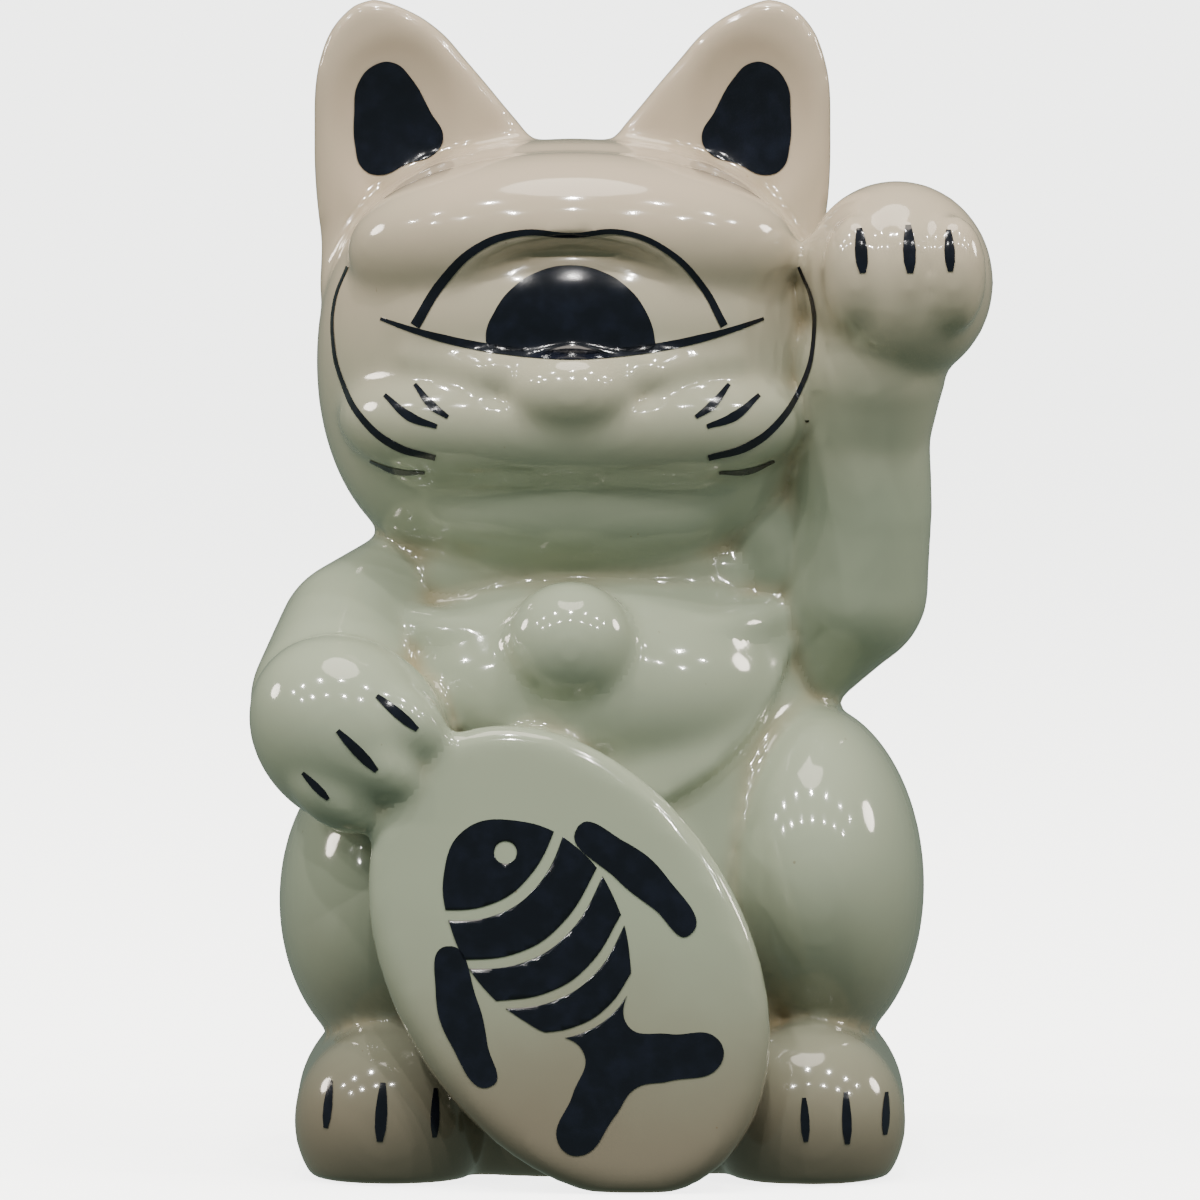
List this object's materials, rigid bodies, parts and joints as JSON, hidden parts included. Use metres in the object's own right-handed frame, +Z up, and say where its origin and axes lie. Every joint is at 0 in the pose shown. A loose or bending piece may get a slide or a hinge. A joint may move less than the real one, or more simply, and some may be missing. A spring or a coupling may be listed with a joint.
{
  "type": "beckoning cat figurine",
  "caption": "Seated glazed ceramic cat money box with one forepaw raised, holding an oval coin, with a pull-out plug in its base.",
  "frame": {"origin": "centre of the bounding box, at the surface it stands on", "axes": "+Z up, the cat faces -Y, its raised left paw is on +X"},
  "size_m": [0.092, 0.0814, 0.147],
  "materials": {
    "cream_glaze": "thick glossy off-white glaze",
    "soft_rubber": "matt soft rubber"
  },
  "bodies": {
    "cat": {"head_casting": "cream_glaze", "body_casting": "cream_glaze", "raised_foreleg": "cream_glaze", "lowered_foreleg": "cream_glaze", "coin_plaque": "cream_glaze", "collar": "cream_glaze", "bib": "cream_glaze", "bell": "cream_glaze", "tail": "cream_glaze"},
    "plug": {"base_plug": "soft_rubber"}
  },
  "joints": [
    {"name": "plug_pull", "type": "slide", "parent": "cat", "child": "plug", "axis": [0, 0, -1], "range_m": [0, 0.03]}
  ]
}
